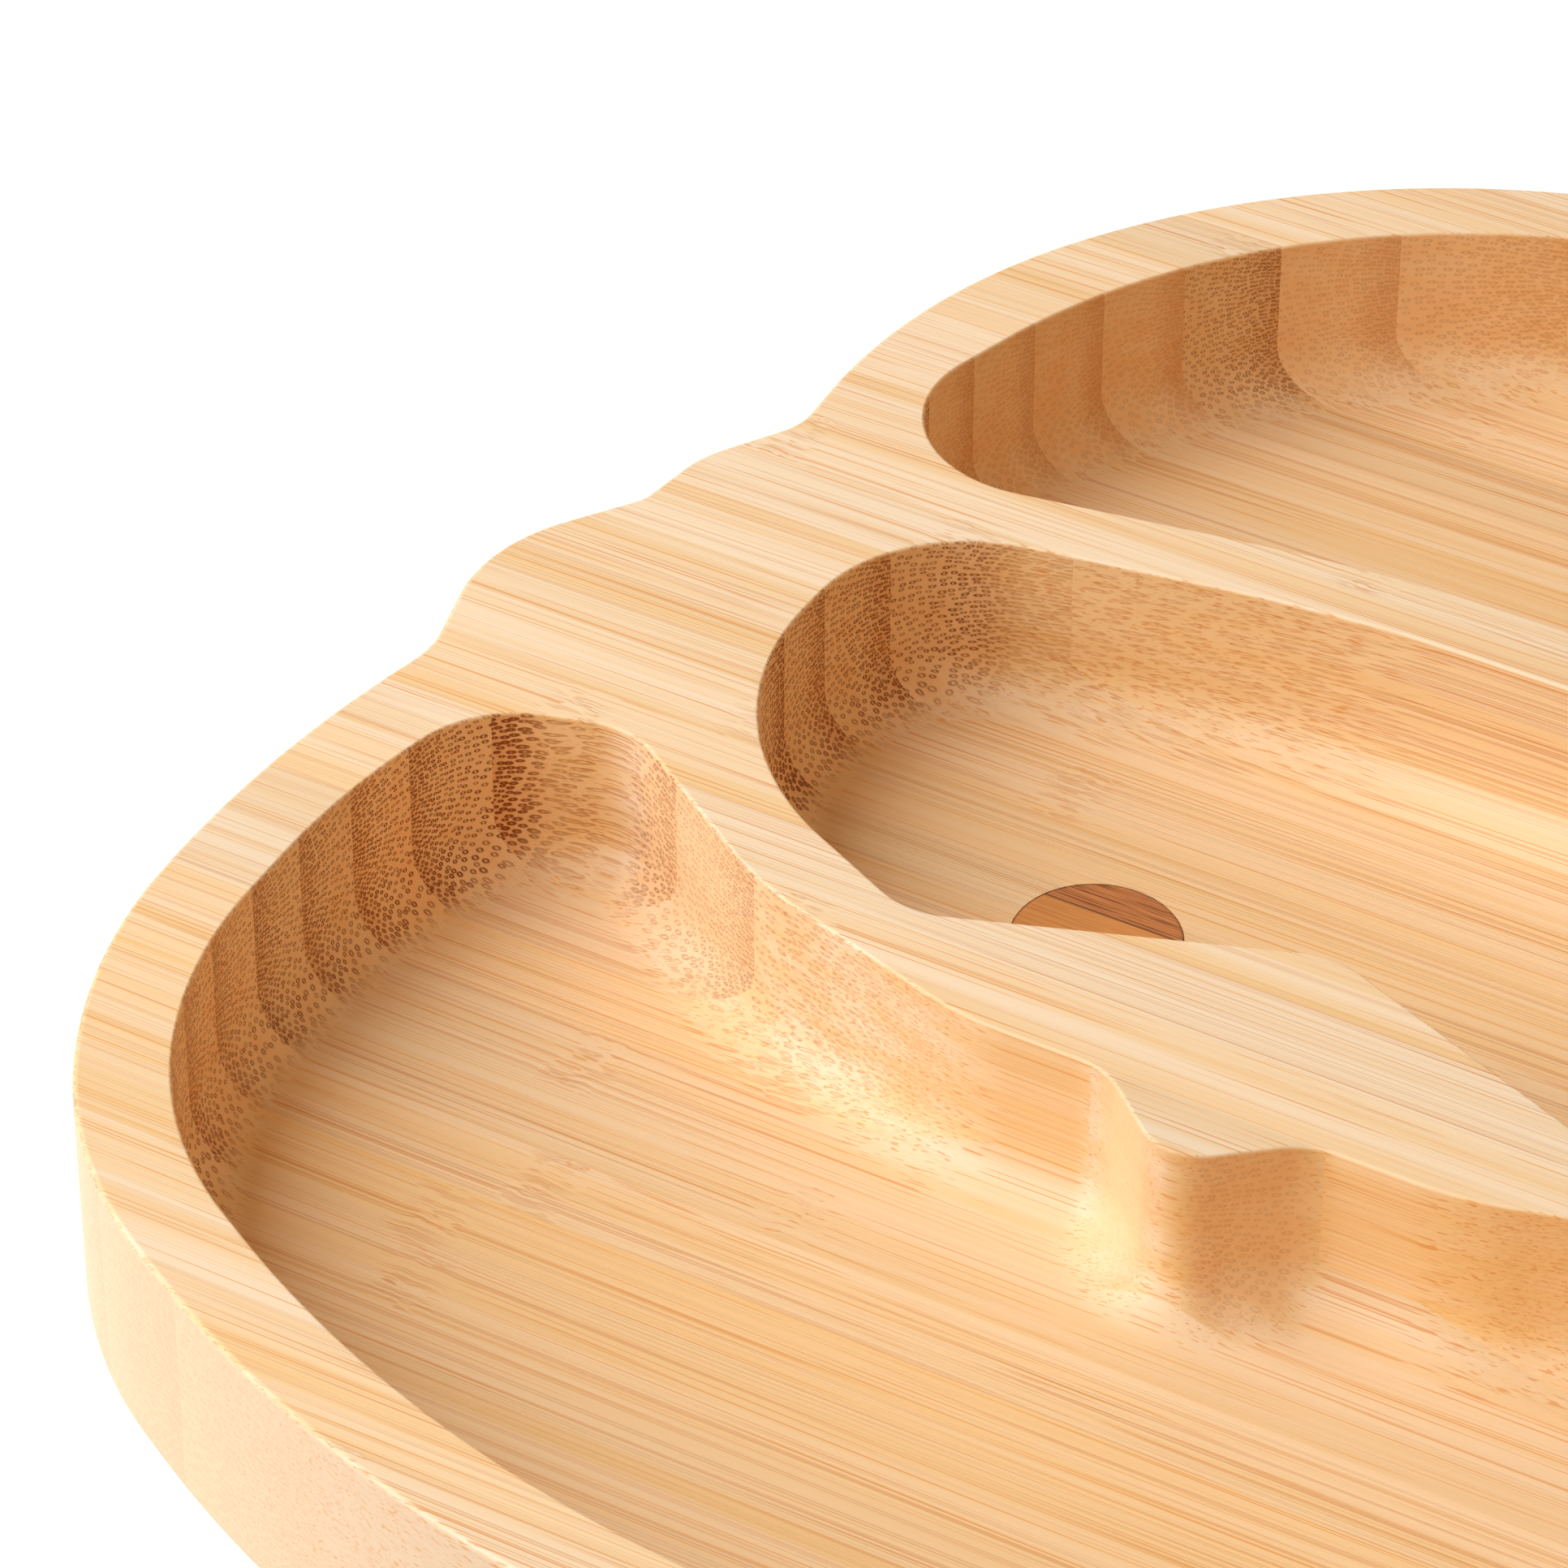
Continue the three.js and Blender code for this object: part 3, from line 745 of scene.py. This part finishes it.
EYE_RADIUS = 6.92
EYE_EASE = 0.08
EASE_STEPS = 4
EYE_RINGS = 24
# Radius of the innermost ring, as a share of the flat top's radius
INNERMOST_RING = 0.02


def eye_surface(side):
    """A disc turned about the eye's upright axis: its profile runs from the middle of the underside, out,
    up the edge, over a small eased corner and back to the middle of the top."""
    ease = quarter(EASE_STEPS)
    inner = np.linspace(INNERMOST_RING, 1, EYE_RINGS) * (EYE_RADIUS - EYE_EASE)
    radius = np.concatenate([inner, EYE_RADIUS - EYE_EASE * (1 - np.cos(ease)), inner[-2::-1]])
    low = np.full(EYE_RINGS, SOCKET_FLOOR)
    high = np.full(EYE_RINGS - 1, TRAY_FLOOR)
    height = np.concatenate([low, TRAY_FLOOR - EYE_EASE * (1 - np.sin(ease)), high])
    outward = eye_directions()
    return carried(eye_centre(side) + outward * EYE_RADIUS, -outward, (EYE_RADIUS - radius, height))


# Seam between the two strips: its place behind the eye's middle, its softness, width and darkness
EYE_SEAM = 2.9
SEAM_SOFTNESS = 0.05
SEAM_FADE = (0.03, 0.16)
SEAM_SHARE = 0.8
# Streaks: waves per millimetre, where they show, and their share on the front strip and on the back one
EYE_STREAK_WAVES = (0.12, 10.0, 10.0)
EYE_STREAK_GRIT = 0.7
EYE_STREAK_FADE = (0.47, 0.6)
EYE_STREAK_SHARES = (0.3, 0.95)
SCORCH_WIDTH = 0.25
SCORCH_SHARE = 0.5
FRONT_STRIP = colour(220, 152, 84)
BACK_STRIP = colour(204, 134, 78)
STREAK_BROWN = colour(112, 58, 28)
SEAM_BROWN = colour(66, 32, 16)
SCORCH_BROWN = colour(84, 42, 20)
EYE_ROUGHNESS = (0.45, 0.6)
STREAK_DEPTH = 0.02


def dark_bamboo():
    """Steamed bamboo in two tones that meet at a dark line along the grain, with fine darker streaks."""
    finish = Finish("dark_bamboo")
    x, y = finish.parts(finish.place)[:2]
    streaks = finish.noise(finish.place, EYE_STREAK_WAVES, 2.0, rough=EYE_STREAK_GRIT)
    behind = finish.sum("SUBTRACT", y, FRONT_EDGE + EYE_RISE)
    aside = finish.sum("SUBTRACT", finish.sum("ABSOLUTE", x), EYE_SPACING / 2)
    from_middle = finish.vector("LENGTH", finish.joined(aside, behind, 0.0))
    from_seam = finish.sum("ABSOLUTE", finish.sum("SUBTRACT", behind, EYE_SEAM))
    back = finish.ease(behind, EYE_SEAM - SEAM_SOFTNESS, EYE_SEAM + SEAM_SOFTNESS)
    streak_share = finish.ease(back, 0.0, 1.0, *EYE_STREAK_SHARES)
    body = finish.layered(
        finish.mix(back, FRONT_STRIP, BACK_STRIP),
        (finish.sum("MULTIPLY", finish.ease(streaks, *EYE_STREAK_FADE), streak_share), STREAK_BROWN),
        (finish.ease(from_seam, *SEAM_FADE, SEAM_SHARE, 0.0), SEAM_BROWN),
        (finish.ease(from_middle, EYE_RADIUS - SCORCH_WIDTH, EYE_RADIUS, 0.0, SCORCH_SHARE), SCORCH_BROWN),
    )
    finish.feed(finish.shader.inputs["Base Color"], body)
    finish.feed(finish.shader.inputs["Roughness"], finish.ease(streaks, *GLOSS_FADE, *EYE_ROUGHNESS))
    finish.shader.inputs["Specular IOR Level"].default_value = SATIN_SPECULAR
    finish.bump(streaks, STREAK_DEPTH)
    return finish.material


dark_finish = dark_bamboo()

for node, side in (("left_eye_inlay", -1), ("right_eye_inlay", 1)):
    vertices, quads = eye_surface(side)
    mesh = bpy.data.meshes.new(node.replace("inlay", "disc"))
    bottom = np.arange(EYE_POINTS)[::-1].tolist()
    top = (len(vertices) - EYE_POINTS + np.arange(EYE_POINTS)).tolist()
    mesh.from_pydata((vertices * MM).tolist(), [], [*quads.tolist(), bottom, top])
    mesh.shade_smooth()
    mesh.set_sharp_from_angle(angle=SHARP_ANGLE)
    piece = placed(mesh, dark_finish)
    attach(piece, "root")
    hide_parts(node)


# Table, light and camera
# A plain white table and soft studio light: one wide lamp at the camera's left and an even, warm glow from
# all around. The camera stands where the photograph was taken from.

FLOOR_HALF = 2.0
floor_mesh = bpy.data.meshes.new("floor")
corners = np.array([(-1, -1, 0), (1, -1, 0), (1, 1, 0), (-1, 1, 0)]) * FLOOR_HALF
floor_mesh.from_pydata(corners.tolist(), [], [(0, 1, 2, 3)])
floor = bpy.data.objects.new("floor", floor_mesh)
bpy.context.scene.collection.objects.link(floor)


def seen_directly(tree):
    """1 for what the camera sees straight, in a mirror or through glass, and 0 for light on the object."""
    path = tree.nodes.new("ShaderNodeLightPath")
    seen = path.outputs["Is Camera Ray"]
    for name in ("Is Glossy Ray", "Is Transmission Ray"):
        either = tree.nodes.new("ShaderNodeMath")
        either.operation = "MAXIMUM"
        tree.links.new(seen, either.inputs[0])
        tree.links.new(path.outputs[name], either.inputs[1])
        seen = either.outputs[0]
    return seen


def strength_between(tree, share, low, high):
    """A strength that goes evenly from low to high as a share goes from 0 to 1."""
    node = tree.nodes.new("ShaderNodeMath")
    node.operation = "MULTIPLY_ADD"
    node.inputs[1].default_value = high - low
    node.inputs[2].default_value = low
    tree.links.new(share, node.inputs[0])
    return node.outputs[0]


WHITE = (1.0, 1.0, 1.0, 1.0)
TABLE_WHITE = (0.8, 0.8, 0.8, 1.0)
TABLE_ROUGHNESS = 0.9
TABLE_GLOW = 0.5
white_table = bpy.data.materials.new("white_table")
white_table.use_nodes = True
table_tree = white_table.node_tree
table_shader = table_tree.nodes["Principled BSDF"]
table_shader.inputs["Base Color"].default_value = TABLE_WHITE
table_shader.inputs["Roughness"].default_value = TABLE_ROUGHNESS
table_shader.inputs["Specular IOR Level"].default_value = 0.0
table_shader.inputs["Emission Color"].default_value = WHITE
table_glow = strength_between(table_tree, seen_directly(table_tree), 0.0, TABLE_GLOW)
table_tree.links.new(table_glow, table_shader.inputs["Emission Strength"])
floor_mesh.materials.append(white_table)

FILL_STRENGTH = 0.34
FILL_COLOUR = (1.0, 0.66, 0.33, 1.0)
studio = bpy.data.worlds.new("studio")
bpy.context.scene.world = studio
studio.use_nodes = True
studio_tree = studio.node_tree
backdrop = studio_tree.nodes["Background"]
backdrop_seen = seen_directly(studio_tree)
glow = strength_between(studio_tree, backdrop_seen, FILL_STRENGTH, 1.0)
studio_tree.links.new(glow, backdrop.inputs["Strength"])
tint = studio_tree.nodes.new("ShaderNodeMix")
tint.data_type = "RGBA"
tint_colours = [socket for socket in tint.inputs if socket.type == "RGBA"]
tint_colours[0].default_value = FILL_COLOUR
tint_colours[1].default_value = WHITE
studio_tree.links.new(backdrop_seen, tint.inputs[0])
tinted = next(socket for socket in tint.outputs if socket.type == "RGBA")
studio_tree.links.new(tinted, backdrop.inputs["Color"])

VIEW_YAW = math.radians(30.4)
VIEW_ELEVATION = math.radians(37.5)
VIEW_DISTANCE = 0.57906
VIEW_TARGET = Vector((-46.74, -12.5, THICKNESS)) * MM
LENS = 170.7
SENSOR_WIDTH = 36.0
right = Vector((math.cos(VIEW_YAW), math.sin(VIEW_YAW), 0))
ahead = Vector((-math.sin(VIEW_YAW), math.cos(VIEW_YAW), 0))
forward = ahead * math.cos(VIEW_ELEVATION) - Vector((0, 0, math.sin(VIEW_ELEVATION)))


def aimed(obj, place, towards):
    """Stands a lamp or camera at a place and turns it to look at a point, kept level."""
    look = (place - towards).normalized()
    level = Vector((0, 0, 1)).cross(look).normalized()
    turned = Matrix((level, look.cross(level), look)).transposed()
    obj.matrix_world = Matrix.Translation(place) @ turned.to_4x4()
    bpy.context.scene.collection.objects.link(obj)


camera_data = bpy.data.cameras.new("camera")
camera_data.lens = LENS
camera_data.sensor_width = SENSOR_WIDTH
camera = bpy.data.objects.new("camera", camera_data)
aimed(camera, VIEW_TARGET - forward * VIEW_DISTANCE, VIEW_TARGET)
bpy.context.scene.camera = camera

KEY_DISTANCE = 1.1
KEY_ELEVATION = math.radians(39)
KEY_SIZE = 1.2
KEY_POWER = 16.0
key_data = bpy.data.lights.new("key", "AREA")
key_data.size = KEY_SIZE
key_data.energy = KEY_POWER
key = bpy.data.objects.new("key", key_data)
key_side = Vector((0, 0, math.sin(KEY_ELEVATION))) - right * math.cos(KEY_ELEVATION)
aimed(key, key_side * KEY_DISTANCE, Vector((0, 0, 0)))

bpy.context.scene.view_settings.view_transform = "Standard"
